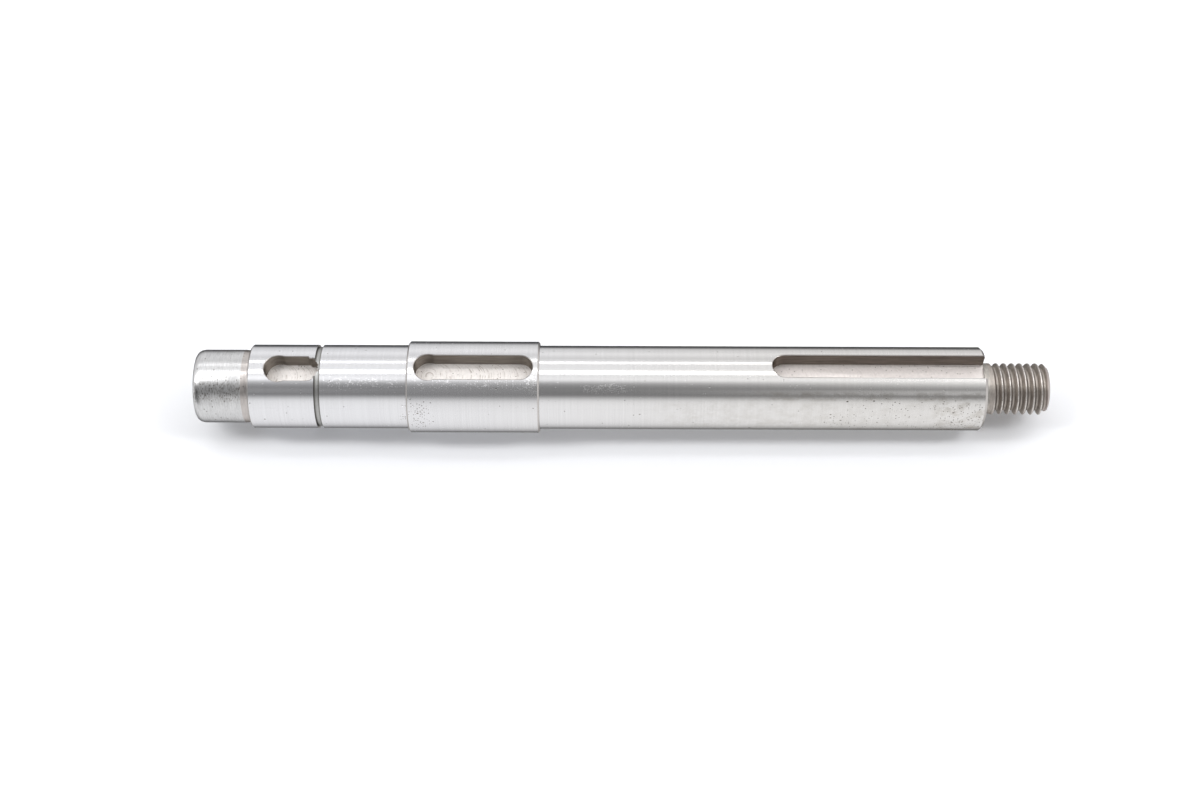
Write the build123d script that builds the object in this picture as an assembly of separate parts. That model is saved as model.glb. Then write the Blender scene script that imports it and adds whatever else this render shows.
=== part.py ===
from build123d import *
from math import radians, tan
import os

# Stepped drive shaft: turned from round steel bar, ground, and end-milled for three keys.
# Millimetres. The shaft's axis is X, and the thread is at its +X end. The origin is on the axis,
# in the plane of the shoulder that the gear is pushed against. The gear and collar keyways face
# +Z, because the shaft lies with its heavier side underneath.

# Plain journal at the -X end, with a long lead-in for its bush
journal_diameter = 14.0
journal_length = 10.5
journal_lead_length = 1.6
journal_lead_depth = 1.0

# Gear seat, with a groove for an external retaining ring
gear_seat_diameter = 16.0
gear_seat_length = 30.0
ring_groove_width = 1.1
ring_groove_depth = 0.4
ring_groove_to_shoulder = 16.3

# Collar, the largest diameter, for a keyed hub
collar_diameter = 17.5
collar_length = 25.0

# Drive section, the long seat beyond the collar
drive_diameter = 16.0
drive_length = 84.5
drive_end_chamfer = 0.45

# M10 x 1.5 threaded end: the solid has its major diameter, without the helix
thread_diameter = 9.85
thread_length = 12.5
thread_end_chamfer = 0.8

# Edge break on the turned corners, and the finer one round the keyways
corner_break = 0.3
keyway_edge_break = 0.15

# Keyways for keys with round ends, with their depths from the top of the seat
key_width = 5.0
plunge_diameter = 5.4
gear_keyway_length = 10.45
gear_keyway_depth = 4.05
gear_keyway_run_in = 0.95
collar_keyway_length = 22.4
collar_keyway_depth = 4.05
collar_keyway_setback = 1.4
drive_keyway_length = 40.5
drive_keyway_depth = 3.6
drive_keyway_clocking = 7.0

# Centre holes in both ends, from turning and grinding between centres
centre_angle = 60.0
drill_point_angle = 118.0
journal_centre_pilot = 2.5
journal_centre_mouth = 5.3
journal_centre_depth = 5.5
thread_centre_pilot = 2.0
thread_centre_mouth = 4.25
thread_centre_depth = 4.6

# Stations along the axis
gear_seat_start = -gear_seat_length
journal_start = gear_seat_start - journal_length
ring_groove_end = -ring_groove_to_shoulder
ring_groove_start = ring_groove_end - ring_groove_width
drive_start = collar_length
drive_end = drive_start + drive_length
thread_end = drive_end + thread_length

journal_radius = journal_diameter / 2
gear_seat_radius = gear_seat_diameter / 2
ring_groove_radius = gear_seat_radius - ring_groove_depth
collar_radius = collar_diameter / 2
drive_radius = drive_diameter / 2
thread_radius = thread_diameter / 2


def revolved(outline):
    """A solid of revolution about the X axis, from the (x, radius) points of its half section."""
    half_section = make_face(Plane.XZ * Polyline(*outline, close=True))
    return revolve(half_section, Axis.X)


def ground_length():
    """The journal, seats and collar, up to the drive section's end face, before any keyway."""
    return revolved([
        (journal_start, 0),
        (journal_start, journal_radius - journal_lead_depth),
        (journal_start + journal_lead_length, journal_radius),
        (gear_seat_start, journal_radius),
        (gear_seat_start, gear_seat_radius - corner_break),
        (gear_seat_start + corner_break, gear_seat_radius),
        (ring_groove_start, gear_seat_radius),
        (ring_groove_start, ring_groove_radius),
        (ring_groove_end, ring_groove_radius),
        (ring_groove_end, gear_seat_radius),
        (0, gear_seat_radius),
        (0, collar_radius - corner_break),
        (corner_break, collar_radius),
        (drive_start - corner_break, collar_radius),
        (drive_start, collar_radius - corner_break),
        (drive_start, drive_radius),
        (drive_end - drive_end_chamfer, drive_radius),
        (drive_end, drive_radius - drive_end_chamfer),
        (drive_end, 0),
    ])


def threaded_end():
    """The stud beyond the drive section, at the thread's major diameter."""
    return revolved([
        (drive_end, 0),
        (drive_end, thread_radius),
        (thread_end - thread_end_chamfer, thread_radius),
        (thread_end, thread_radius - thread_end_chamfer),
        (thread_end, 0),
    ])


def centre_hole(pilot, mouth, depth):
    """Cutter for a centre hole that runs along +X from its mouth at the origin."""
    cone_depth = (mouth - pilot) / 2 / tan(radians(centre_angle / 2))
    point_depth = pilot / 2 / tan(radians(drill_point_angle / 2))
    return revolved([
        (0, 0),
        (0, mouth / 2),
        (cone_depth, pilot / 2),
        (depth, pilot / 2),
        (depth + point_depth, 0),
    ])


def keyway_cutter(start, end, floor, seat_radius, plunged):
    """Cutter for a keyway that faces +Z, from its flat floor out past the seat's surface.

    Its ends are as round as the end mill, which cut a little wide where it was plunged.
    """
    height = 2 * seat_radius - floor
    slot = Pos((start + end) / 2, 0, floor) * SlotOverall(end - start, key_width)
    cutter = extrude(slot, height)
    if plunged:
        plunge = Pos(start + plunge_diameter / 2, 0, floor) * Circle(plunge_diameter / 2)
        cutter += extrude(plunge, height)
    return cutter


def keyway_rim(part, start, end, seat_radius):
    """The edges where a keyway that faces +Z meets the surface of its seat."""
    tolerance = 0.01
    widest = max(key_width, plunge_diameter) / 2 + tolerance
    rim = ShapeList()
    for edge in part.edges():
        middle = edge @ 0.5
        radius = Vector(0, middle.Y, middle.Z).length
        in_length = start - tolerance < middle.X < end + tolerance
        on_seat = abs(radius - seat_radius) < tolerance / 10
        if in_length and on_seat and middle.Z > 0 and abs(middle.Y) < widest:
            rim.append(edge)
    return rim


def with_keyway(part, start, end, seat_radius, depth, plunged=True, clocking=0.0):
    """The part with one more keyway and its broken rim, turned from +Z towards +Y by clocking."""
    floor = seat_radius - depth
    facing_up = Rot(X=clocking) * part
    milled = facing_up - keyway_cutter(start, end, floor, seat_radius, plunged)
    broken = chamfer(keyway_rim(milled, start, end, seat_radius), keyway_edge_break)
    return Rot(X=-clocking) * broken


shaft = ground_length()

# The gear keyway runs into the ring groove, and stops short of the groove's far wall.
gear_keyway_end = ring_groove_start + gear_keyway_run_in
gear_keyway_start = gear_keyway_end - gear_keyway_length
shaft = with_keyway(shaft, gear_keyway_start, gear_keyway_end, gear_seat_radius, gear_keyway_depth)

collar_keyway_start = collar_keyway_setback
collar_keyway_end = collar_keyway_start + collar_keyway_length
shaft = with_keyway(shaft, collar_keyway_start, collar_keyway_end, collar_radius, collar_keyway_depth)

# The drive keyway is open at the end face. Its floor is a little lower than the stud beyond it.
drive_keyway_start = drive_end - drive_keyway_length
drive_keyway_end = drive_end + key_width
shaft = with_keyway(
    shaft, drive_keyway_start, drive_keyway_end, drive_radius, drive_keyway_depth,
    plunged=False, clocking=drive_keyway_clocking,
)

shaft += threaded_end()

journal_centre = centre_hole(journal_centre_pilot, journal_centre_mouth, journal_centre_depth)
thread_centre = centre_hole(thread_centre_pilot, thread_centre_mouth, thread_centre_depth)
shaft -= Pos(journal_start, 0, 0) * journal_centre
shaft -= Pos(thread_end, 0, 0) * Rot(Y=180) * thread_centre

os.makedirs("parts", exist_ok=True)
export_step(shaft, "parts/shaft.step")
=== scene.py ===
import math
import random

import bmesh
import bpy
from mathutils import Matrix, Vector


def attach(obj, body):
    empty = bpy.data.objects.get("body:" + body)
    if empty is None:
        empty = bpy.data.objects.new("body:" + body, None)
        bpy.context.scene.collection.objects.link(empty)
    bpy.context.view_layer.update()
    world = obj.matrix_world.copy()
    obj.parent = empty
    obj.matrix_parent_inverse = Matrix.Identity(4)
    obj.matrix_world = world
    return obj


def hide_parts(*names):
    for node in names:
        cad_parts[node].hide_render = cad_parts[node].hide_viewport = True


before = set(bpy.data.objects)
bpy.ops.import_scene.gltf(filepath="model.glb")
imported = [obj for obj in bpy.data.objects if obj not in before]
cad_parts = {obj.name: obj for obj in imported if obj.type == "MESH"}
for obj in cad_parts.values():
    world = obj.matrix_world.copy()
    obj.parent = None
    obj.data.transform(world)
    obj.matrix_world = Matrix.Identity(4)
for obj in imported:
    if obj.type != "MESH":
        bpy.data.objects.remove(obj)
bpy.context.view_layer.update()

scene = bpy.context.scene
scene.view_settings.view_transform = "Standard"
print("keyed shaft: frame loaded")

# Every size below is in millimetres, in the row frame: the axis is X and the thread is at +X.


def metres(value):
    return value * 0.001


def linearColour(hexCode):
    channels = [int(hexCode[i:i + 2], 16) / 255 for i in (1, 3, 5)]
    linear = [c / 12.92 if c <= 0.04045 else ((c + 0.055) / 1.055) ** 2.4 for c in channels]
    return (*linear, 1.0)


def addNode(tree, kind, settings=None, inputs=None):
    node = tree.nodes.new(kind)
    for name, value in (settings or {}).items():
        setattr(node, name, value)
    for name, value in (inputs or {}).items():
        if isinstance(value, bpy.types.Node):
            value = value.outputs[0]
        if isinstance(value, bpy.types.NodeSocket):
            tree.links.new(value, node.inputs[name])
        else:
            node.inputs[name].default_value = value
    return node


# The camera looks down at the shaft's side from in front.
cameraView = {
    "aim": (36.5, 0.0, 0.0),
    "shiftUp": -2.42,  # the shaft lies a little above the middle of the picture
    "distance": 346.0,
    "elevation": 64.0,
    "roll": 0.21,  # degrees, the thread's end a little lower
    "lens": 54.0,
    "sensorWidth": 36.0,
    "clipStart": 10.0,
}


def makeCamera(values):
    elevation = math.radians(values["elevation"])
    roll = math.radians(values["roll"])
    back = Vector((0, -math.cos(elevation), math.sin(elevation)))
    level = Vector((1, 0, 0))
    upright = Vector((0, math.sin(elevation), math.cos(elevation)))
    right = level * math.cos(roll) + upright * math.sin(roll)
    up = upright * math.cos(roll) - level * math.sin(roll)
    place = Vector(values["aim"]) + upright * values["shiftUp"] + back * values["distance"]
    lens = bpy.data.cameras.new("viewCamera")
    lens.lens = values["lens"]
    lens.sensor_width = values["sensorWidth"]
    lens.clip_start = metres(values["clipStart"])
    camera = bpy.data.objects.new("viewCamera", lens)
    turn = Matrix((right, up, back)).transposed().to_4x4()
    camera.matrix_world = Matrix.Translation(metres(1) * place) @ turn
    scene.collection.objects.link(camera)
    return camera


scene.camera = makeCamera(cameraView)
print("keyed shaft: camera placed")

nearly = metres(0.0001)  # closer than this counts as the same place

# The shaft's turned sizes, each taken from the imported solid's stations.
shaftSizes = {
    "segments": 224,  # round the axis
    "ringSpacing": 3.0,  # along it, at most
    "sharpAngle": 28.0,  # degrees between two faces from which their edge is drawn sharp
    "journalDiameter": 14.0,
    "journalStart": -40.5,
    "leadLength": 1.6,
    "leadDepth": 1.0,
    "leadSteps": 8,  # the lead-in is worn round
    "leadFirstAngle": 6.0,
    "faceBreak": 0.2,  # from the lead-in's foot to the flat of the end face
    "reliefLength": 1.35,  # the turned relief beside the gear seat
    "reliefDepth": 0.06,
    "gearSeatDiameter": 16.0,
    "gearSeatStart": -30.0,
    "ringGrooveStart": -17.4,
    "ringGrooveEnd": -16.3,
    "ringGrooveDiameter": 15.2,
    "collarDiameter": 17.5,
    "collarEnd": 25.0,
    "cornerBreak": 0.3,
    "driveDiameter": 16.0,
    "driveEnd": 109.5,
    "driveEndBreak": 0.45,
    "driveEndBreakLength": 0.5,
}
centreHoles = {
    "coneAngle": 60.0,
    "pointAngle": 118.0,
    "journalPilot": 2.5,
    "journalMouth": 5.3,
    "journalDepth": 5.5,
    "threadPilot": 2.0,
    "threadMouth": 4.25,
    "threadDepth": 4.6,
}
threadSizes = {
    "pitch": 1.5,
    "majorDiameter": 9.85,
    "minorDiameter": 8.16,
    "start": 109.9,  # end of the plain neck
    "end": 122.0,
    "endDiameter": 8.3,
    "runOut": 110.62,  # the groove has no depth here, and its full depth a pitch later
    "crestPlace": 112.45,
    "crestAngle": 26.0,  # degrees from +Y towards +Z, where a crest is at crestPlace
    "crestFlat": 0.16,
    "rootFlat": 0.3,
    "flankSteps": (0.12, 0.3, 0.5, 0.7, 0.88, 1.0),  # shares of the way down a flank
    "rounding": 0.045,  # eases the crest and the root
    "letIn": 0.02,  # how far the plain stub reaches into the drive section
}
keywaySizes = {
    "width": 5.0,
    "plungeDiameter": 5.4,
    "edgeBreak": 0.15,
    "arcSteps": 28,
    "tear": 0.35,  # where the gear keyway breaks out into the ring groove
    "tornPart": (0.2, 0.95),  # shares of the way round that end
    "overrun": 2.0,  # of the cutter past an open end
    "cutterTop": 3.0,  # above the seat
    "gear": {"start": -26.9, "end": -16.45, "floor": 3.95, "seat": 8.0, "clocking": 0.0,
             "plunged": True, "openEnded": False, "tornSeed": 5},
    "collar": {"start": 1.4, "end": 23.8, "floor": 4.7, "seat": 8.75, "clocking": 0.0,
               "plunged": True, "openEnded": False},
    "drive": {"start": 69.0, "end": 109.5, "floor": 4.4, "seat": 8.0, "clocking": 7.0,
              "plunged": False, "openEnded": True},
}
finishNames = ["groundSteel", "journalSteel", "turnedSteel", "grooveSteel", "reliefSteel",
               "milledWall", "milledFloor", "threadSteel", "boredSteel"]
finishes = {name: bpy.data.materials.new(name) for name in finishNames}
finishIndex = {name: index for index, name in enumerate(finishNames)}


def centreHoleProfile(face, inward, pilot, mouth, depth):
    # From the mouth's edge on the face to the drill point on the axis
    cone = (mouth - pilot) / 2 / math.tan(math.radians(centreHoles["coneAngle"] / 2))
    point = pilot / 2 / math.tan(math.radians(centreHoles["pointAngle"] / 2))
    return [
        (face, mouth / 2),
        (face + inward * cone, pilot / 2),
        (face + inward * depth, pilot / 2),
        (face + inward * (depth + point), 0),
    ]


def bodyProfile(s, holes):
    # (x, radius, finish of the surface that starts here), from the drill point on
    hole = centreHoleProfile(s["journalStart"], 1, holes["journalPilot"], holes["journalMouth"],
                             holes["journalDepth"])
    journal = s["journalDiameter"] / 2
    seat = s["gearSeatDiameter"] / 2
    groove = s["ringGrooveDiameter"] / 2
    collar = s["collarDiameter"] / 2
    drive = s["driveDiameter"] / 2
    corner = s["cornerBreak"]
    relief = journal - s["reliefDepth"]
    reliefStart = s["gearSeatStart"] - s["reliefLength"]
    outline = [(x, r, "boredSteel") for x, r in reversed(hole)]
    outline[-1] = (*outline[-1][:2], "journalSteel")
    outline.append((s["journalStart"], journal - s["leadDepth"] - s["faceBreak"], "journalSteel"))
    leadSweep = 90 - s["leadFirstAngle"]
    for step in range(1, s["leadSteps"] + 1):
        turn = math.radians(s["leadFirstAngle"] + leadSweep * step / s["leadSteps"])
        outline.append((s["journalStart"] + s["leadLength"] * (1 - math.cos(turn)),
                        journal - s["leadDepth"] * (1 - math.sin(turn)), "journalSteel"))
    outline += [
        (reliefStart, journal, "reliefSteel"),
        (reliefStart + 2 * s["reliefDepth"], relief, "reliefSteel"),
        (s["gearSeatStart"], relief, "turnedSteel"),
        (s["gearSeatStart"], seat - corner, "turnedSteel"),
        (s["gearSeatStart"] + corner, seat, "groundSteel"),
        (s["ringGrooveStart"], seat, "turnedSteel"),
        (s["ringGrooveStart"], groove, "grooveSteel"),
        (s["ringGrooveEnd"], groove, "turnedSteel"),
        (s["ringGrooveEnd"], seat, "groundSteel"),
        (0, seat, "turnedSteel"),
        (0, collar - corner, "turnedSteel"),
        (corner, collar, "groundSteel"),
        (s["collarEnd"] - corner, collar, "turnedSteel"),
        (s["collarEnd"], collar - corner, "turnedSteel"),
        (s["collarEnd"], drive, "groundSteel"),
        (s["driveEnd"] - s["driveEndBreakLength"], drive, "turnedSteel"),
        (s["driveEnd"], drive - s["driveEndBreak"], "turnedSteel"),
        (s["driveEnd"], 0, None),
    ]
    return outline


def studProfile():
    # The plain neck, from a little inside the drive section to where the thread is carried on
    radius = threadSizes["majorDiameter"] / 2
    base = shaftSizes["driveEnd"] - threadSizes["letIn"]
    return [(base, 0, "turnedSteel"), (base, radius, "threadSteel"),
            (threadSizes["start"], radius, "threadSteel"), (threadSizes["start"], 0, None)]


def ringOf(mesh, x, radius, segments):
    # One vertex where the radius is 0, and a radius for each angle where it is a function
    if not callable(radius) and radius == 0:
        return [mesh.verts.new((metres(x), 0, 0))] * segments
    ring = []
    for k in range(segments):
        angle = 2 * math.pi * k / segments
        r = radius(angle) if callable(radius) else radius
        ring.append(mesh.verts.new((metres(x), metres(r) * math.cos(angle),
                                    metres(r) * math.sin(angle))))
    return ring


def joinRings(mesh, near, far, finish):
    # The rings follow each other towards +X or inwards over an end face at +X
    count = len(near)
    for k in range(count):
        corners = [near[k], near[(k + 1) % count], far[(k + 1) % count], far[k]]
        corners = [v for i, v in enumerate(corners) if v not in corners[:i]]
        face = mesh.faces.new(corners)
        face.material_index = finishIndex[finish]
        face.smooth = True


def turned(name, outline, s):
    # Lathe work as one closed mesh
    mesh = bmesh.new()
    last = None
    for here, (x, radius, finish) in enumerate(outline):
        ring = ringOf(mesh, x, radius, s["segments"])
        if last is not None:
            joinRings(mesh, last, ring, lastFinish)
        last, lastFinish = ring, finish
        if finish is None:
            break
        nextX, nextRadius = outline[here + 1][:2]
        parts = math.ceil(abs(nextX - x) / s["ringSpacing"])
        for part in range(1, parts):
            share = part / parts
            middle = ringOf(mesh, x + (nextX - x) * share, radius + (nextRadius - radius) * share,
                            s["segments"])
            joinRings(mesh, last, middle, finish)
            last = middle
    bmesh.ops.recalc_face_normals(mesh, faces=mesh.faces)
    return withFinishes(name, mesh)


def withFinishes(name, mesh):
    data = bpy.data.meshes.new(name)
    mesh.to_mesh(data)
    mesh.free()
    for finish in finishNames:
        data.materials.append(finishes[finish])
    return bpy.data.objects.new(name, data)


def keywayOutline(k, offset):
    # (x, across) round the slot, grown by offset; the same count of points for every offset
    torn = random.Random(k["tornSeed"]) if "tornSeed" in k else None
    half = keywaySizes["width"] / 2 + offset
    steps = keywaySizes["arcSteps"]
    if k["plunged"]:
        radius = keywaySizes["plungeDiameter"] / 2 + offset
        centre = k["start"] + keywaySizes["plungeDiameter"] / 2
        first = math.atan2(half, math.sqrt(radius ** 2 - half ** 2))
    else:
        radius, centre, first = half, k["start"] + keywaySizes["width"] / 2, math.pi / 2
    points = []
    for step in range(steps + 1):
        angle = first + (2 * math.pi - 2 * first) * step / steps
        points.append((centre + radius * math.cos(angle), radius * math.sin(angle)))
    if k["openEnded"]:
        past = k["end"] + keywaySizes["overrun"]
        return points + [(past, -half), (past, half)]
    centre = k["end"] - keywaySizes["width"] / 2
    tornFrom, tornTo = keywaySizes["tornPart"]
    for step in range(steps + 1):
        angle = -math.pi / 2 + math.pi * step / steps
        radius = half
        if torn and tornFrom < step / steps < tornTo:
            radius -= torn.uniform(0, keywaySizes["tear"])
        points.append((centre + radius * math.cos(angle), radius * math.sin(angle)))
    return points


def flatAt(height):
    return lambda across: height


def roundAt(radius):
    return lambda across: math.sqrt(radius ** 2 - across ** 2)


def keywayCutter(name):
    k = keywaySizes[name]
    rim = keywaySizes["edgeBreak"]
    # (growth of the outline, height of its ring): up the walls, then out along the broken rim
    # for three times its size, so that it leaves the seat, and up to a lid
    levels = [(0, flatAt(k["floor"])), (0, roundAt(k["seat"] - rim)),
              (3 * rim, roundAt(k["seat"] + 2 * rim)),
              (3 * rim, flatAt(k["seat"] + keywaySizes["cutterTop"]))]
    mesh = bmesh.new()
    rings = []
    for growth, heightAt in levels:
        rings.append([mesh.verts.new((metres(x), metres(across), metres(heightAt(across))))
                      for x, across in keywayOutline(k, growth)])
    for near, far, finish in zip(rings, rings[1:], ("milledWall", "turnedSteel", "turnedSteel")):
        joinRings(mesh, near, far, finish)
    floor = mesh.faces.new(rings[0])
    floor.material_index = finishIndex["milledFloor"]
    mesh.faces.new(rings[-1])
    bmesh.ops.recalc_face_normals(mesh, faces=mesh.faces)
    mesh.transform(Matrix.Rotation(-math.radians(k["clocking"]), 4, "X"))
    return withFinishes(name + "Cutter", mesh)


def combine(body, other, operation):
    # An exact Boolean of the two, kept in the body
    for part in (body, other):
        if part.name not in scene.collection.objects:
            scene.collection.objects.link(part)
    change = body.modifiers.new("change", "BOOLEAN")
    change.operation = operation
    change.solver = "EXACT"
    change.object = other
    view = bpy.context.evaluated_depsgraph_get()
    changed = bpy.data.meshes.new_from_object(body.evaluated_get(view))
    body.modifiers.clear()
    body.data = changed
    bpy.data.objects.remove(other)


def threadRadius(x, angle):
    # Radius of the threaded end at x, on the given angle round the axis
    t = threadSizes
    major, minor = t["majorDiameter"] / 2, t["minorDiameter"] / 2
    crest = t["crestPlace"] + t["pitch"] * (math.degrees(angle) - t["crestAngle"]) / 360
    turn = (x - crest) / t["pitch"]
    along = (turn - math.floor(turn)) * t["pitch"]
    grooveMiddle = x - along + t["pitch"] / 2
    depth = min(1, max(0, (grooveMiddle - t["runOut"]) / t["pitch"])) * (major - minor)
    fromMiddle = abs(along - t["pitch"] / 2)
    flank = (fromMiddle - t["rootFlat"] / 2) / ((t["pitch"] - t["crestFlat"] - t["rootFlat"]) / 2)
    flank = min(1, max(0, flank))
    eased = flank - t["rounding"] * math.sin(2 * math.pi * flank)
    radius = major - depth * (1 - eased)
    return min(radius, t["endDiameter"] / 2 + t["end"] - x)


def cutThread(mesh, segments):
    # A grid sheared along the helix, clamped at the neck and at the end face
    t = threadSizes
    crest, root = t["crestFlat"] / 2, t["rootFlat"] / 2
    side = t["pitch"] / 2 - crest - root
    offsets = [0, crest, *(crest + side * share for share in t["flankSteps"]), t["pitch"] / 2]
    offsets += [t["pitch"] - o for o in reversed(offsets[1:-1])]
    perTurn = len(offsets)
    firstCrest = t["crestPlace"] - t["pitch"] * t["crestAngle"] / 360
    turnsBack = math.ceil((firstCrest - t["start"]) / t["pitch"]) + 1
    turns = math.ceil((t["end"] - firstCrest) / t["pitch"]) + turnsBack + 1
    rows = []
    for row in range(turns * perTurn + 1):
        turn, step = divmod(row, perTurn)
        base = firstCrest + (turn - turnsBack) * t["pitch"] + offsets[step]
        ring = []
        for k in range(segments):
            angle = 2 * math.pi * k / segments
            x = min(t["end"], max(t["start"], base + t["pitch"] * k / segments))
            radius = threadRadius(x, angle)
            ring.append(mesh.verts.new((metres(x), metres(radius) * math.cos(angle),
                                        metres(radius) * math.sin(angle))))
        rows.append(ring)
    for row in range(len(rows) - 1):
        for k in range(segments):
            if k + 1 < segments:
                near, far = rows[row][k + 1], rows[row + 1][k + 1]
            elif row + perTurn + 1 < len(rows):
                near, far = rows[row + perTurn][0], rows[row + perTurn + 1][0]
            else:
                continue
            corners = [rows[row][k], near, far, rows[row + 1][k]]
            if max(v.co.x for v in corners) - min(v.co.x for v in corners) < nearly / 100:
                continue
            face = mesh.faces.new(corners)
            face.material_index = finishIndex["threadSteel"]
            face.smooth = True


def makeShaft(s):
    body = turned("keyedShaft", bodyProfile(s, centreHoles), s)
    for keyway in ("gear", "collar", "drive"):
        combine(body, keywayCutter(keyway), "DIFFERENCE")
    combine(body, turned("stud", studProfile(), s), "UNION")
    print("keyed shaft: body turned and keyways milled")
    mesh = bmesh.new()
    mesh.from_mesh(body.data)
    joint = metres(threadSizes["start"])
    caps = [f for f in mesh.faces if all(abs(v.co.x - joint) < nearly for v in f.verts)]
    bmesh.ops.delete(mesh, geom=caps, context="FACES")
    cutThread(mesh, s["segments"])
    end = threadSizes["end"]
    hole = centreHoleProfile(end, -1, centreHoles["threadPilot"], centreHoles["threadMouth"],
                             centreHoles["threadDepth"])
    last = ringOf(mesh, end, lambda angle: threadRadius(end, angle), s["segments"])
    finish = "threadSteel"
    for x, radius in hole:
        ring = ringOf(mesh, x, radius, s["segments"])
        joinRings(mesh, last, ring, finish)
        last, finish = ring, "boredSteel"
    bmesh.ops.remove_doubles(mesh, verts=mesh.verts, dist=2 * nearly)
    bmesh.ops.dissolve_degenerate(mesh, edges=mesh.edges, dist=nearly)
    bmesh.ops.recalc_face_normals(mesh, faces=mesh.faces)
    mesh.to_mesh(body.data)
    mesh.free()
    return body


def roundNormals(data):
    # True radial normals on the round seats, so that no facet shows in a long reflection
    normals = []
    for face in data.polygons:
        seat = face.material_index == finishIndex["groundSteel"]
        for vertex in face.vertices:
            place = data.vertices[vertex].co
            normals.append(Vector((0, place.y, place.z)).normalized() if seat else (0, 0, 0))
    data.normals_split_custom_set(normals)


shaft = makeShaft(shaftSizes)
shaft.data.shade_smooth()
shaft.data.set_sharp_from_angle(angle=math.radians(shaftSizes["sharpAngle"]))
roundNormals(shaft.data)
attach(shaft, "root")
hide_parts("shaft")
print("keyed shaft: thread cut,", len(shaft.data.polygons), "faces")


def shaftPlace(tree):
    # The point in mm, how far along the shaft it is, and its angle: front 0, top 90, back 180
    point = addNode(tree, "ShaderNodeTexCoord").outputs["Object"]
    place = addNode(tree, "ShaderNodeVectorMath", {"operation": "SCALE"},
                    {"Vector": point, "Scale": 1000.0})
    axes = addNode(tree, "ShaderNodeSeparateXYZ", None, {"Vector": place})
    forward = addNode(tree, "ShaderNodeMath", {"operation": "MULTIPLY"},
                      {0: axes.outputs["Y"], 1: -1.0})
    turn = addNode(tree, "ShaderNodeMath", {"operation": "ARCTAN2"},
                   {0: axes.outputs["Z"], 1: forward})
    angle = addNode(tree, "ShaderNodeMath", {"operation": "DEGREES"}, {0: turn})
    return place, axes.outputs["X"], angle


def between(tree, value, low, high, soft):
    # 1 from low to high, easing to 0 over twice soft
    rise = addNode(tree, "ShaderNodeMapRange", {"interpolation_type": "SMOOTHSTEP"},
                   {"Value": value, "From Min": low - soft, "From Max": low + soft})
    fall = addNode(tree, "ShaderNodeMapRange", {"interpolation_type": "SMOOTHSTEP"},
                   {"Value": value, "From Min": high - soft, "From Max": high + soft,
                    "To Min": 1.0, "To Max": 0.0})
    return addNode(tree, "ShaderNodeMath", {"operation": "MULTIPLY"}, {0: rise, 1: fall})


def strongest(tree, parts):
    total = parts[0]
    for part in parts[1:]:
        total = addNode(tree, "ShaderNodeMath", {"operation": "MAXIMUM"}, {0: total, 1: part})
    return total


def patches(tree, x, angle, areas):
    # Soft-edged areas, each by its length along the shaft and its angle round it
    usual = {"softAlong": 1.5, "softAround": 5.0}
    found = []
    for area in areas:
        area = {**usual, **area}
        along = between(tree, x, *area["along"], area["softAlong"])
        around = between(tree, angle, *area["around"], area["softAround"])
        inside = addNode(tree, "ShaderNodeMath", {"operation": "MULTIPLY"}, {0: along, 1: around})
        found.append(addNode(tree, "ShaderNodeMath", {"operation": "MULTIPLY"},
                             {0: inside, 1: area["amount"]}))
    return strongest(tree, found)


def grain(tree, place, size, detail, roughness):
    # Noise whose features measure size mm along X, Y and Z; it mostly keeps to 0.3 to 0.7
    fitted = addNode(tree, "ShaderNodeVectorMath", {"operation": "DIVIDE"}, {0: place, 1: size})
    return addNode(tree, "ShaderNodeTexNoise", None,
                   {"Vector": fitted, "Scale": 1.0, "Detail": detail, "Roughness": roughness})


def clouds(tree, place, noise, low, high, least=0.0, most=1.0):
    # Patches: least where the noise is under low, and most where it is over high
    return addNode(tree, "ShaderNodeMapRange", None,
                   {"Value": grain(tree, place, *noise), "From Min": low, "From Max": high,
                    "To Min": least, "To Max": most})


def marks(tree, place, size, spacing, share):
    # One mark in a share of the cells, spacing mm apart; size is the part of a cell it fills
    fitted = addNode(tree, "ShaderNodeVectorMath", {"operation": "DIVIDE"}, {0: place, 1: spacing})
    cells = addNode(tree, "ShaderNodeTexVoronoi", None, {"Vector": fitted, "Scale": 1.0})
    core = size * 0.3
    mark = addNode(tree, "ShaderNodeMapRange", {"interpolation_type": "SMOOTHSTEP"},
                   {"Value": cells.outputs["Distance"], "From Min": core, "From Max": size,
                    "To Min": 1.0, "To Max": 0.0})
    draw = addNode(tree, "ShaderNodeSeparateXYZ", None, {"Vector": cells.outputs["Color"]})
    chosen = addNode(tree, "ShaderNodeMath", {"operation": "LESS_THAN"}, {0: draw, 1: share})
    return addNode(tree, "ShaderNodeMath", {"operation": "MULTIPLY"}, {0: mark, 1: chosen})


def scratches(tree, place, noise, width, gaps, share):
    # Hairlines where a stretched noise crosses its middle, broken up by a second noise
    line = addNode(tree, "ShaderNodeMath", {"operation": "SUBTRACT"},
                   {0: grain(tree, place, *noise), 1: 0.5})
    away = addNode(tree, "ShaderNodeMath", {"operation": "ABSOLUTE"}, {0: line})
    hair = addNode(tree, "ShaderNodeMapRange", {"interpolation_type": "SMOOTHSTEP"},
                   {"Value": away, "From Max": width, "To Min": 1.0, "To Max": 0.0})
    kept = addNode(tree, "ShaderNodeMath", {"operation": "LESS_THAN"},
                   {0: grain(tree, place, *gaps), 1: share})
    return addNode(tree, "ShaderNodeMath", {"operation": "MULTIPLY"}, {0: hair, 1: kept})


def layered(tree, under, layers):
    # Each layer is a colour and how much it covers, 0 to 1; colours are hex or from a node
    for over, cover in layers:
        under, over = (linearColour(c) if isinstance(c, str) else c for c in (under, over))
        under = addNode(tree, "ShaderNodeMix", {"data_type": "RGBA"},
                        {0: cover, 6: under, 7: over}).outputs[2]
    return under


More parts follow.
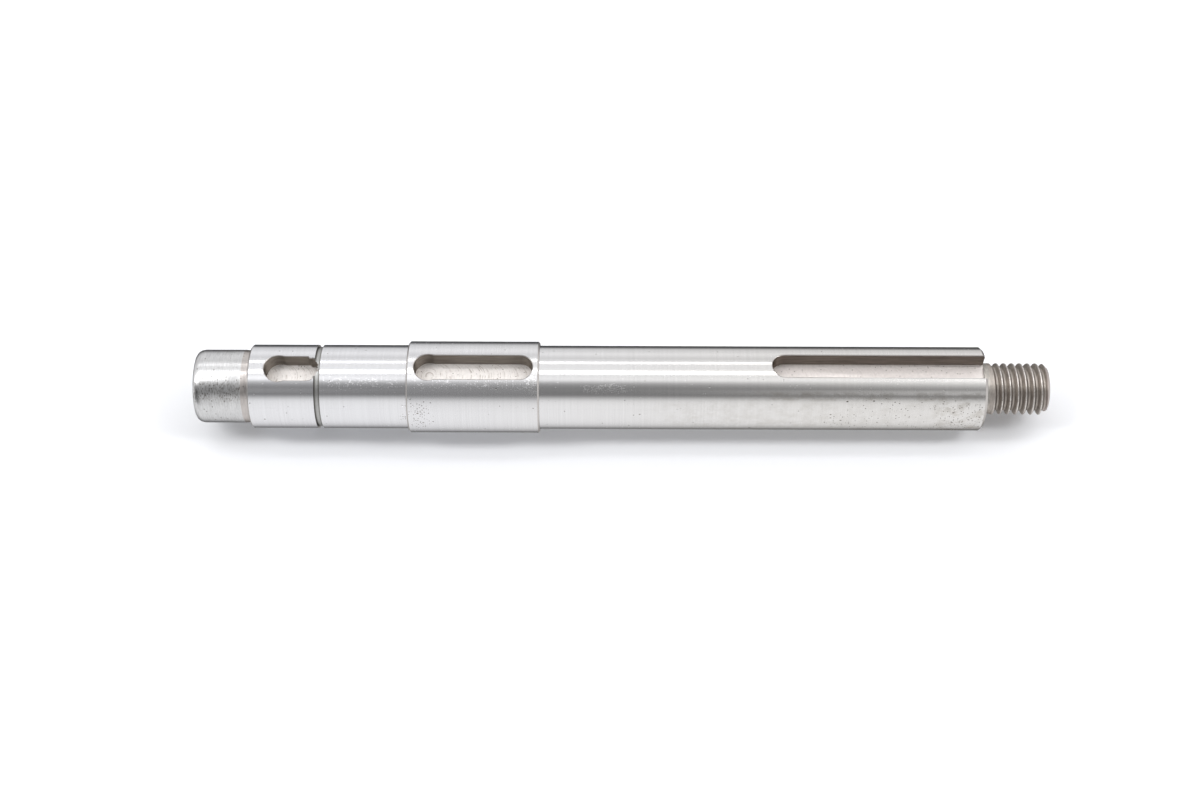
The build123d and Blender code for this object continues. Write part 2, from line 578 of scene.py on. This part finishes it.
def shaded(tree, colour, texture, darkest, low=0.3, high=0.7):
    # The colour, hex or from a node, down to its darkest share where the texture is low
    colour = linearColour(colour)[:3] if isinstance(colour, str) else colour
    shade = addNode(tree, "ShaderNodeMapRange", None,
                    {"Value": texture, "From Min": low, "From Max": high, "To Min": darkest})
    return addNode(tree, "ShaderNodeVectorMath", {"operation": "SCALE"},
                   {"Vector": colour, "Scale": shade}).outputs["Vector"]


def embossed(tree, surface, heights):
    # Each height runs from 0 to 1, and stands for its depth in mm
    under = {}
    for height, depth in heights:
        bump = addNode(tree, "ShaderNodeBump", None,
                       {"Height": height, "Distance": metres(depth), "Strength": 1.0, **under})
        under = {"Normal": bump}
    tree.links.new(bump.outputs["Normal"], surface.inputs["Normal"])


def metalSurface(material, values):
    material.use_nodes = True
    surface = material.node_tree.nodes["Principled BSDF"]
    surface.inputs["Metallic"].default_value = 1.0
    surface.inputs["Roughness"].default_value = values["roughness"]
    surface.inputs["Specular Tint"].default_value = linearColour(values["edgeColour"])
    return material.node_tree, surface


def roundLines(tree, surface, stretch):
    # Fine lines round the shaft draw the reflections out along it
    surface.inputs["Anisotropic"].default_value = stretch
    surface.inputs["Anisotropic Rotation"].default_value = 0.25
    tangent = addNode(tree, "ShaderNodeTangent", {"direction_type": "RADIAL", "axis": "X"})
    tree.links.new(tangent.outputs[0], surface.inputs["Tangent"])


# Cylindrically ground bearing steel: bright and clear across the shaft, drawn out along it by
# the fine grit lines that run round it. Handling has left hairlines, pits and a faint bloom.
groundValues = {
    "colour": "#e8e8eb",
    "warmColour": "#e2e0de",  # towards the thread's end
    "warmFrom": -10.0,
    "warmTo": 80.0,
    "edgeColour": "#747474",
    "roughness": 0.17,
    "stretch": 0.72,
    # each noise is its size, detail and roughness
    "grit": ((0.2, 14.0, 14.0), 3.0, 0.5),  # about 0.02 wide, drawn ten times as coarse to show
    "gritShade": 0.05,
    "wave": ((0.9, 0.7, 0.7), 3.0, 0.5),
    "waveDepth": 0.0016,
    "collarDuller": 0.06,
    "collarSoft": 0.05,
    "bloomColour": "#c0bbb4",
    "bloomClouds": {"noise": ((2.6, 1.8, 1.8), 5.0, 0.65), "low": 0.42, "high": 0.66,
                    "most": 0.8},
    "bloomDuller": 0.16,
    "bloomAreas": (
        {"along": (100, 112), "around": (-25, 46), "amount": 1.0, "softAlong": 3.0},
        {"along": (48, 100), "around": (-25, 44), "amount": 0.34, "softAlong": 9.0},
        # a duller lengthwise stripe in the bloom colour, 46 to 58 degrees round, from 64 mm to the
        # end
        {"along": (64, 112), "around": (46, 58), "amount": 0.8, "softAlong": 9.0,
         "softAround": 3.0},
    ),
    "pitColour": "#746d66",
    "pitDepth": 0.02,
    # part of a cell that a pit fills, the cell, and the share of cells with one
    "pitKinds": ((0.3, (1.0, 0.6, 0.6), 0.28), (0.38, (0.42, 0.3, 0.3), 0.5)),
    "pitAreas": (
        {"along": (-60, 130), "around": (-200, 200), "amount": 0.02},
        {"along": (99, 112), "around": (-14, 44), "amount": 0.75},
        {"along": (78, 85), "around": (2, 26), "amount": 0.6},
        {"along": (-1, 4.4), "around": (4, 46), "amount": 0.85},
        {"along": (84, 112), "around": (-20, 50), "amount": 0.25, "softAlong": 4.0},
    ),
    "scuffSize": 0.45,
    "scuffSpacing": (0.42, 0.2, 0.2),
    "scuffShare": 0.6,
    "scuffDuller": 0.18,
    "hair": ((1.2, 0.5, 0.5), 1.0, 0.5),
    "hairWidth": 0.04,
    "hairGaps": ((1.7, 1.1, 1.1), 1.0, 0.5),
    "hairDepth": 0.0012,
    "scuffAreas": (
        {"along": (-16, -1), "around": (60, 76), "amount": 0.8, "softAround": 4.0},
        {"along": (1, 24), "around": (60, 73), "amount": 0.6, "softAround": 4.0},
        {"along": (22.5, 24.6), "around": (50, 78), "amount": 1.0, "softAlong": 0.4},
        {"along": (33, 42), "around": (56, 68), "amount": 1.0, "softAround": 3.0},
        {"along": (-60, 130), "around": (-200, 200), "amount": 0.03},
    ),
}


def groundSteel(material, v):
    tree, surface = metalSurface(material, v)
    place, x, angle = shaftPlace(tree)
    roundLines(tree, surface, v["stretch"])

    bloom = addNode(tree, "ShaderNodeMath", {"operation": "MULTIPLY"},
                    {0: clouds(tree, place, **v["bloomClouds"]),
                     1: patches(tree, x, angle, v["bloomAreas"])})

    pitArea = patches(tree, x, angle, v["pitAreas"])
    pits = []
    for size, spacing, most in v["pitKinds"]:
        share = addNode(tree, "ShaderNodeMath", {"operation": "MULTIPLY"}, {0: pitArea, 1: most})
        pits.append(marks(tree, place, size, spacing, share))
    pits = strongest(tree, pits)
    unpitted = addNode(tree, "ShaderNodeMath", {"operation": "SUBTRACT"}, {0: 1.0, 1: pits})

    share = addNode(tree, "ShaderNodeMath", {"operation": "MULTIPLY"},
                    {0: patches(tree, x, angle, v["scuffAreas"]), 1: v["scuffShare"]})
    worn = strongest(tree, [
        marks(tree, place, v["scuffSize"], v["scuffSpacing"], share),
        scratches(tree, place, v["hair"], v["hairWidth"], v["hairGaps"], share)])

    warmth = addNode(tree, "ShaderNodeMapRange", None,
                     {"Value": x, "From Min": v["warmFrom"], "From Max": v["warmTo"]})
    colour = layered(tree, v["colour"], [(v["warmColour"], warmth)])
    colour = shaded(tree, colour, grain(tree, place, *v["grit"]), 1 - v["gritShade"])
    colour = layered(tree, colour, [(v["bloomColour"], bloom), (v["pitColour"], pits)])
    tree.links.new(colour, surface.inputs["Base Color"])

    collar = between(tree, x, 0.0, shaftSizes["collarEnd"], v["collarSoft"])
    rough = v["roughness"]
    for part, duller in ((bloom, "bloomDuller"), (collar, "collarDuller"), (worn, "scuffDuller")):
        rough = addNode(tree, "ShaderNodeMath", {"operation": "MULTIPLY_ADD"},
                        {0: part, 1: v[duller], 2: rough})
    tree.links.new(rough.outputs[0], surface.inputs["Roughness"])
    embossed(tree, surface, [(grain(tree, place, *v["wave"]), v["waveDepth"]),
                             (worn, v["hairDepth"]), (unpitted, v["pitDepth"])])


# Fine-turned steel left unground: satin, with tool marks round it that hold specks of dirt. Smears
# and more specks crowd the band where the darker reflection lies: dirt, and painted shade
# deepening that band.
journalValues = {
    "colour": "#e2e2e3", "edgeColour": "#606060", "roughness": 0.3, "stretch": 0.5,
    "lines": ((0.22, 2.2, 2.2), 3.0, 0.6), "lineShade": 0.2, "lineDepth": 0.004,
    "grain": ((0.5, 0.8, 0.8), 4.0, 0.65), "grainDepth": 0.01,
    "speckColour": "#726d68", "speckMost": 0.8, "speckSize": 0.42,
    "speckSpacing": (0.4, 0.55, 0.55), "speckShare": 0.34, "speckElsewhere": 0.08,
    # dirt smears, crowded into the band of the darker reflection as painted shade
    "smearAndShadeColour": "#85817c", "smearAndShadeAround": (38, 73), "smearAndShadeSoft": 9.0, "smearElsewhere": 0.22,
    "smearClouds": {"noise": ((0.24, 0.7, 0.7), 4.0, 0.7), "low": 0.46, "high": 0.64,
                    "most": 0.74},
}
# The relief beside the gear seat, turned a hair deeper: a little pink with dried oil.
reliefValues = dict(journalValues, colour="#d2ccc9", lineShade=0.24, speckShare=0.1,
                    smearClouds=dict(journalValues["smearClouds"], most=0.2))


def journalSteel(material, v):
    tree, surface = metalSurface(material, v)
    place, _, angle = shaftPlace(tree)
    roundLines(tree, surface, v["stretch"])

    # painted shade: smears and specks gather in this band, where the darker reflection lies
    shadeBand = between(tree, angle, *v["smearAndShadeAround"], v["smearAndShadeSoft"])
    spread = addNode(tree, "ShaderNodeMath", {"operation": "MAXIMUM"},
                     {0: shadeBand, 1: v["smearElsewhere"]})
    smudgeAndShade = addNode(tree, "ShaderNodeMath", {"operation": "MULTIPLY"},
                    {0: clouds(tree, place, **v["smearClouds"]), 1: spread})
    share = addNode(tree, "ShaderNodeMath", {"operation": "MULTIPLY_ADD"},
                    {0: shadeBand, 1: v["speckShare"], 2: v["speckElsewhere"]})
    specks = marks(tree, place, v["speckSize"], v["speckSpacing"], share)
    specks = addNode(tree, "ShaderNodeMath", {"operation": "MULTIPLY"},
                     {0: specks, 1: v["speckMost"]})

    lines = grain(tree, place, *v["lines"])
    colour = shaded(tree, v["colour"], lines, 1 - v["lineShade"])
    colour = layered(tree, colour, [(v["smearAndShadeColour"], smudgeAndShade), (v["speckColour"], specks)])
    tree.links.new(colour, surface.inputs["Base Color"])
    embossed(tree, surface, [(lines, v["lineDepth"]),
                             (grain(tree, place, *v["grain"]), v["grainDepth"])])


# Turned faces, shoulders and broken edges: plain satin steel.
turnedValues = {
    "colour": "#d6d2cf", "edgeColour": "#909090", "roughness": 0.32,
    "grain": ((0.5, 0.5, 0.5), 4.0, 0.6), "grainDepth": 0.004, "mottle": 0.12,
}
# Bores of the centre holes: drilled, a little darker than the faces.
boredValues = dict(turnedValues, colour="#a8a39c", edgeColour="#808080", roughness=0.5)
# Walls of the end-milled keyways: brown with dried coolant, in streaks along the cut.
wallValues = {
    "colour": "#a8a19a", "driveColour": "#8a827b", "driveStart": 60.0,
    "edgeColour": "#808080", "roughness": 0.36,
    "grain": ((5.0, 0.6, 0.34), 4.0, 0.6), "grainDepth": 0.012, "mottle": 0.45,
}


def plainSteel(material, v):
    tree, surface = metalSurface(material, v)
    place, x, _ = shaftPlace(tree)
    texture = grain(tree, place, *v["grain"])
    colour = v["colour"]
    # the drive keyway has its own colour; on its floor this is painted shade
    if "driveColour" in v:  # the drive keyway has its own
        there = addNode(tree, "ShaderNodeMath", {"operation": "GREATER_THAN"},
                        {0: x, 1: v["driveStart"]})
        colour = layered(tree, colour, [(v["driveColour"], there)])
    colour = shaded(tree, colour, texture, 1 - v["mottle"])
    tree.links.new(colour, surface.inputs["Base Color"])
    embossed(tree, surface, [(texture, v["grainDepth"])])
    return tree, surface, place, x, colour


# The ring groove, parted with a narrow tool: dull, with a darker strip of painted shade along both
# of its walls.
grooveValues = {
    "colour": "#bdbdbc", "edgeColour": "#808080", "roughness": 0.36,
    "grain": ((0.4, 0.7, 0.7), 4.0, 0.6), "grainDepth": 0.006, "mottle": 0.2,
    # painted shade along the groove's walls: its colour, width and softness
    "cornerShadeColour": "#7c7b78", "cornerShadeWidth": 0.28, "cornerShadeSoft": 0.16,
}


def grooveSteel(material, v, s):
    tree, surface, _, x, colour = plainSteel(material, v)
    # painted shade: the groove's floor is darker next to each wall
    clearOfShade = between(tree, x, s["ringGrooveStart"] + v["cornerShadeWidth"],
                    s["ringGrooveEnd"] - v["cornerShadeWidth"], v["cornerShadeSoft"])
    colour = layered(tree, v["cornerShadeColour"], [(colour, clearOfShade)])
    tree.links.new(colour, surface.inputs["Base Color"])


# Floors of the keyways: matt pale steel, with the arcs that the end mill leaves as it feeds.
floorValues = {
    # the drive keyway's floor colour is darker: painted shade that holds down the lamps' light
    # there
    "colour": "#fdf9f6", "driveColour": "#f1ebe8", "driveStart": 60.0,
    "edgeColour": "#c0c0c0", "roughness": 0.6,
    "grain": ((0.5, 0.5, 0.5), 4.0, 0.6), "grainDepth": 0.008, "mottle": 0.1,
    "arcColour": "#bdb3ab", "driveArcs": 0.3, "driveSoft": 1.0, "cutterRadius": 2.6,
    # arcs are about 0.1 apart, drawn four times as coarse to show
    "arcClouds": {"noise": ((0.42, 1.0, 1.0), 2.0, 0.6), "low": 0.48, "high": 0.66, "most": 0.9},
    "arcGaps": {"noise": ((1.6, 0.9, 0.9), 3.0, 0.6), "low": 0.42, "high": 0.6},
    "plungeReach": 1.6,  # past the middle of the plunge, where its rings end
    "plungeSoft": 0.5,
    "speckColour": "#a39b93", "speckSize": 0.36, "speckSpacing": (0.5, 0.4, 0.4),
    "speckShare": 0.16,
}


def floorSteel(material, v, k):
    tree, surface, place, x, colour = plainSteel(material, v)
    axes = addNode(tree, "ShaderNodeSeparateXYZ", None, {"Vector": place})
    square = addNode(tree, "ShaderNodeMath", {"operation": "MULTIPLY"},
                     {0: axes.outputs["Y"], 1: axes.outputs["Y"]})
    room = addNode(tree, "ShaderNodeMath", {"operation": "SUBTRACT"},
                   {0: v["cutterRadius"] ** 2, 1: square})
    room = addNode(tree, "ShaderNodeMath", {"operation": "MAXIMUM"}, {0: room, 1: 0.0})
    reach = addNode(tree, "ShaderNodeMath", {"operation": "SQRT"}, {0: room})
    feed = addNode(tree, "ShaderNodeMath", {"operation": "SUBTRACT"}, {0: x, 1: reach})
    # Where the cutter was plunged it left rings instead
    plunge = k["collar"]["start"] + k["plungeDiameter"] / 2
    away = addNode(tree, "ShaderNodeVectorMath", {"operation": "DISTANCE"},
                   {0: place, 1: (plunge, 0.0, k["collar"]["floor"])})
    nearPlunge = between(tree, x, 0.0, plunge + v["plungeReach"], v["plungeSoft"])
    phase = addNode(tree, "ShaderNodeMix", {"data_type": "FLOAT"},
                    {0: nearPlunge, 2: feed, 3: away.outputs["Value"]})
    along = addNode(tree, "ShaderNodeCombineXYZ", None, {"X": phase})
    arcs = clouds(tree, along, **v["arcClouds"])
    kept = clouds(tree, place, **v["arcGaps"])
    fainter = addNode(tree, "ShaderNodeMapRange", None,
                      {"Value": x, "From Min": v["driveStart"],
                       "From Max": v["driveStart"] + v["driveSoft"],
                       "To Min": 1.0, "To Max": v["driveArcs"]})
    for share in (kept, fainter):
        arcs = addNode(tree, "ShaderNodeMath", {"operation": "MULTIPLY"}, {0: arcs, 1: share})
    specks = marks(tree, place, v["speckSize"], v["speckSpacing"], v["speckShare"])
    colour = layered(tree, colour, [(v["arcColour"], arcs), (v["speckColour"], specks)])
    tree.links.new(colour, surface.inputs["Base Color"])


# Die-cut thread: torn flanks, brown-grey with oil, and lighter, smoother crests: rubbed bright,
# with a painted highlight on the crest lines.
threadValues = {
    "colour": "#c0b8b1", "edgeColour": "#808080", "roughness": 0.5,
    "streaks": ((0.14, 1.1, 1.1), 4.0, 0.7), "streakDepth": 0.012,
    # the darkest share of a colour, and the noise that it is shaded from and to
    "streakShade": (0.6, 0.34, 0.66), "neckShade": (0.62, 0.36, 0.62),
    "neckColour": "#c0bbb5", "neckEnd": 110.45, "neckSoft": 0.1,
    # crests painted lighter: rubbed, and a painted highlight
    "crestRubAndHighlightColour": "#e0dbd7", "crestFrom": 4.79, "crestTo": 4.91,  # radii
    "crestStart": 111.3, "crestSoft": 0.4, "crestSmoother": 0.2,
    "rubbed": {"noise": ((0.5, 0.5, 0.5), 3.0, 0.6), "low": 0.36, "high": 0.56, "least": 0.25},
    "rimColour": "#dbd2cf", "rimStart": 121.25, "rimSoft": 0.25, "rimMost": 0.8,
}


def threadSteel(material, v):
    tree, surface = metalSurface(material, v)
    place, x, _ = shaftPlace(tree)
    offAxis = addNode(tree, "ShaderNodeVectorMath", {"operation": "MULTIPLY"},
                      {0: place, 1: (0, 1, 1)})
    radius = addNode(tree, "ShaderNodeVectorMath", {"operation": "LENGTH"}, {0: offAxis})
    neck = addNode(tree, "ShaderNodeMapRange", None,
                   {"Value": x, "From Min": v["neckEnd"] - v["neckSoft"],
                    "From Max": v["neckEnd"] + v["neckSoft"], "To Min": 1.0, "To Max": 0.0})
    rim = addNode(tree, "ShaderNodeMapRange", None,
                  {"Value": x, "From Min": v["rimStart"], "From Max": v["rimStart"] + v["rimSoft"],
                   "To Max": v["rimMost"]})
    # painted highlight with rubbing: the crests are painted lighter from crestStart on
    crest = addNode(tree, "ShaderNodeMapRange", None,
                    {"Value": radius.outputs["Value"], "From Min": v["crestFrom"],
                     "From Max": v["crestTo"]})
    beyond = addNode(tree, "ShaderNodeMapRange", None,
                     {"Value": x, "From Min": v["crestStart"],
                      "From Max": v["crestStart"] + v["crestSoft"]})
    for share in (beyond, clouds(tree, place, **v["rubbed"])):
        crest = addNode(tree, "ShaderNodeMath", {"operation": "MULTIPLY"}, {0: crest, 1: share})

    streaks = grain(tree, place, *v["streaks"])
    flanks = shaded(tree, v["colour"], streaks, *v["streakShade"])
    plain = shaded(tree, v["neckColour"], streaks, *v["neckShade"])
    colour = layered(tree, flanks, [(plain, neck), (v["rimColour"], rim),
                                    (v["crestRubAndHighlightColour"], crest)])
    tree.links.new(colour, surface.inputs["Base Color"])
    rough = addNode(tree, "ShaderNodeMath", {"operation": "MULTIPLY_ADD"},
                    {0: crest, 1: -v["crestSmoother"], 2: v["roughness"]})
    tree.links.new(rough.outputs[0], surface.inputs["Roughness"])
    embossed(tree, surface, [(streaks, v["streakDepth"])])


groundSteel(finishes["groundSteel"], groundValues)
journalSteel(finishes["journalSteel"], journalValues)
journalSteel(finishes["reliefSteel"], reliefValues)
plainSteel(finishes["turnedSteel"], turnedValues)
plainSteel(finishes["boredSteel"], boredValues)
plainSteel(finishes["milledWall"], wallValues)
grooveSteel(finishes["grooveSteel"], grooveValues, shaftSizes)
floorSteel(finishes["milledFloor"], floorValues, keywaySizes)
threadSteel(finishes["threadSteel"], threadValues)
print("keyed shaft: finishes made")

# The floor is inclined as the shaft lies: on the collar's far edge and the drive section's end.
stageValues = {
    "floorSize": 6000.0,
    "floorColour": "#f4f5f8",
    "mirroredColour": "#ffffff",  # what the polished steel shows of it, clear of the shadow
    "mirroredPaintedShade": "#9a9a9a",  # painted shade: a dimmer strip behind the shaft that only the polished steel shows
    "paintedShadeStrip": (12, 42),  # mm from the axis
    "paintedShadeSoft": 10.0,
    "mirroredShare": 0.94,
    "supports": ((24.7, -8.75), (109.05, -8.0)),  # (x, z) of the two lines it touches
}


def makeFloor(values):
    (x1, z1), (x2, z2) = values["supports"]
    half = values["floorSize"] / 2
    slope = (z2 - z1) / (x2 - x1)
    mesh = bmesh.new()
    corners = []
    for x, y in ((-half, -half), (half, -half), (half, half), (-half, half)):
        corners.append(mesh.verts.new(metres(1) * Vector((x, y, z1 + slope * (x - x1)))))
    mesh.faces.new(corners)
    data = bpy.data.meshes.new("floor")
    mesh.to_mesh(data)
    mesh.free()
    floor = bpy.data.objects.new("floor", data)
    scene.collection.objects.link(floor)
    paint = bpy.data.materials.new("whiteTable")
    paint.use_nodes = True
    surface = paint.node_tree.nodes["Principled BSDF"]
    surface.inputs["Base Color"].default_value = linearColour(values["floorColour"])
    surface.inputs["Roughness"].default_value = 1.0
    surface.inputs["Specular IOR Level"].default_value = 0.0
    tree = paint.node_tree
    point = addNode(tree, "ShaderNodeTexCoord").outputs["Object"]
    axes = addNode(tree, "ShaderNodeSeparateXYZ", None, {"Vector": point})
    behind = addNode(tree, "ShaderNodeMath", {"operation": "MULTIPLY"},
                     {0: axes.outputs["Y"], 1: 1000.0})
    # painted shade: the strip behind the shaft is darker only in what the steel reflects of the
    # floor
    shadeMask = between(tree, behind, *values["paintedShadeStrip"], values["paintedShadeSoft"])
    shown = layered(tree, values["mirroredColour"], [(values["mirroredPaintedShade"], shadeMask)])
    clear = addNode(tree, "ShaderNodeEmission", None, {"Color": shown, "Strength": 1.0})
    ray = addNode(tree, "ShaderNodeLightPath")
    share = addNode(tree, "ShaderNodeMath", {"operation": "MULTIPLY"},
                    {0: ray.outputs["Is Glossy Ray"], 1: values["mirroredShare"]})
    mixed = addNode(tree, "ShaderNodeMixShader", None, {0: share, 1: surface, 2: clear})
    tree.links.new(mixed.outputs[0], tree.nodes["Material Output"].inputs["Surface"])
    data.materials.append(paint)


makeFloor(stageValues)

# Soft light from all round, by its height over the front (0), overhead (90) and the back (180).
# Whoever works there keeps the light off a part in front of the shaft, less so to its sides.
lightValues = {
    "facingShaft": ((-180, 0.8), (0, 1.0), (9, 1.02), (21, 0.95), (27, 0.84), (33, 0.6),
                    (38, 0.37), (42, 0.22), (49, 0.145), (60, 0.21), (67, 0.24), (72, 0.3),
                    (77, 0.5), (82, 0.9), (87, 1.02), (94, 0.92), (104, 1.0), (124, 1.0),
                    (140, 0.95), (151, 0.8), (160, 0.94), (168, 1.06), (180, 1.0)),
    "obliquely": ((-180, 0.8), (0, 1.0), (21, 0.95), (30, 0.72), (36, 0.42), (43, 0.3),
                  (47, 0.75), (55, 0.75), (60, 0.4), (66, 0.58), (72, 0.8), (78, 0.95), (87, 1.02),
                  (94, 0.92), (104, 1.0), (124, 1.0), (140, 0.95), (151, 0.8), (168, 1.06),
                  (180, 1.0)),
    "toTheSides": ((-180, 0.6), (0, 0.12), (30, 0.1), (45, 0.08), (55, 0.1), (65, 0.25),
                   (75, 0.85), (87, 1.6), (95, 1.4), (110, 1.0), (180, 0.8)),
    # share of obliquely, then of toTheSides, by the sideways part of the direction, -1 to 1
    "obliqueShare": ((-1, 1), (-0.5, 1), (-0.3, 0.45), (-0.2, 0.3), (-0.08, 0.1), (-0.02, 0),
                     (0.04, 0.05), (0.1, 0.25), (0.16, 0.6), (0.2, 0.95), (0.4, 1), (1, 1)),
    "sideShare": ((-1, 1), (-0.5, 1), (-0.3, 0), (0.3, 0), (0.5, 1), (1, 1)),
    # share of the far white walls that polished steel shows, by the same
    "wallShare": ((-1, 1), (-0.96, 1), (-0.9, 0), (0.9, 0), (0.96, 1), (1, 1)),
    "wallColour": "#ffffff",
    "boxMiddle": 40.0,  # the boxes hang over the shaft's middle
    "boxes": (
        {"height": 105.0, "side": 0, "distance": 900.0, "width": 110.0, "length": 1500.0,
         "level": 2.8},
        {"height": 135.0, "side": 0, "distance": 900.0, "width": 60.0, "length": 1500.0,
         "level": 2.0},
        {"height": 88.0, "side": -40, "distance": 1100.0, "width": 170.0, "length": 500.0,
         "level": 11.2},
        {"height": 88.0, "side": 40, "distance": 1100.0, "width": 170.0, "length": 500.0,
         "level": 10.8},
    ),
}


def levelRamp(tree, source, lowest, highest, levels):
    share = addNode(tree, "ShaderNodeMapRange", None,
                    {"Value": source, "From Min": lowest, "From Max": highest})
    ramp = addNode(tree, "ShaderNodeValToRGB", None, {"Fac": share.outputs["Result"]})
    stops = ramp.color_ramp.elements
    stops.remove(stops[-1])
    for index, (place, level) in enumerate(levels):
        along = (place - levels[0][0]) / (levels[-1][0] - levels[0][0])
        stop = stops[0] if index == 0 else stops.new(along)
        stop.position = along
        stop.color = (level, level, level, 1)
    return ramp.outputs["Color"]


def lightWorld(values):
    world = bpy.data.worlds.new("softRoom")
    world.use_nodes = True
    tree = world.node_tree
    tree.nodes.clear()
    place = addNode(tree, "ShaderNodeTexCoord")
    axes = addNode(tree, "ShaderNodeSeparateXYZ", None, {"Vector": place.outputs["Generated"]})
    front = addNode(tree, "ShaderNodeMath", {"operation": "MULTIPLY"},
                    {0: axes.outputs["Y"], 1: -1.0})
    height = addNode(tree, "ShaderNodeMath", {"operation": "ARCTAN2"},
                     {0: axes.outputs["Z"], 1: front})
    brightest = 2.0  # a ramp's colours end at 1
    facing, oblique, sides = (
        levelRamp(tree, height, -math.pi, math.pi, [(a, l / brightest) for a, l in values[name]])
        for name in ("facingShaft", "obliquely", "toTheSides"))
    obliqueShare, sideShare, wallShare = (
        levelRamp(tree, axes.outputs["X"], -1, 1, values[name])
        for name in ("obliqueShare", "sideShare", "wallShare"))
    light = layered(tree, facing, [(oblique, obliqueShare), (sides, sideShare)])
    sky = addNode(tree, "ShaderNodeBackground", None, {"Color": light, "Strength": brightest})
    walls = addNode(tree, "ShaderNodeBackground", None,
                    {"Color": linearColour(values["wallColour"]), "Strength": 1.0})
    ray = addNode(tree, "ShaderNodeLightPath")
    shown = addNode(tree, "ShaderNodeMath", {"operation": "MULTIPLY_ADD"},
                    {0: ray.outputs["Is Glossy Ray"], 1: wallShare,
                     2: ray.outputs["Is Camera Ray"]})
    room = addNode(tree, "ShaderNodeMixShader", None, {0: shown, 1: sky, 2: walls})
    addNode(tree, "ShaderNodeOutputWorld", None, {"Surface": room})
    scene.world = world


def hangBox(index, values, middle):
    lamp = bpy.data.lights.new(f"softBox{index}", "AREA")
    lamp.shape = "RECTANGLE"
    lamp.size = metres(values["length"])
    lamp.size_y = metres(values["width"])
    # radiance = power / (pi * area) for an area lamp
    lamp.energy = values["level"] * math.pi * lamp.size * lamp.size_y
    box = bpy.data.objects.new(lamp.name, lamp)
    height, side = math.radians(values["height"]), math.radians(values["side"])
    toward = Vector((0, -math.cos(height), math.sin(height))) * math.cos(side)
    toward.x = math.sin(side)
    across = Vector((0, 1, 0)).cross(toward).normalized()
    box.location = metres(values["distance"]) * toward + Vector((metres(middle), 0, 0))
    box.rotation_mode = "QUATERNION"
    turn = Matrix((across, toward.cross(across), toward)).transposed()
    box.rotation_quaternion = turn.to_quaternion()
    scene.collection.objects.link(box)


lightWorld(lightValues)
for index, box in enumerate(lightValues["boxes"]):
    hangBox(index, box, lightValues["boxMiddle"])
print("keyed shaft: floor and lights set")
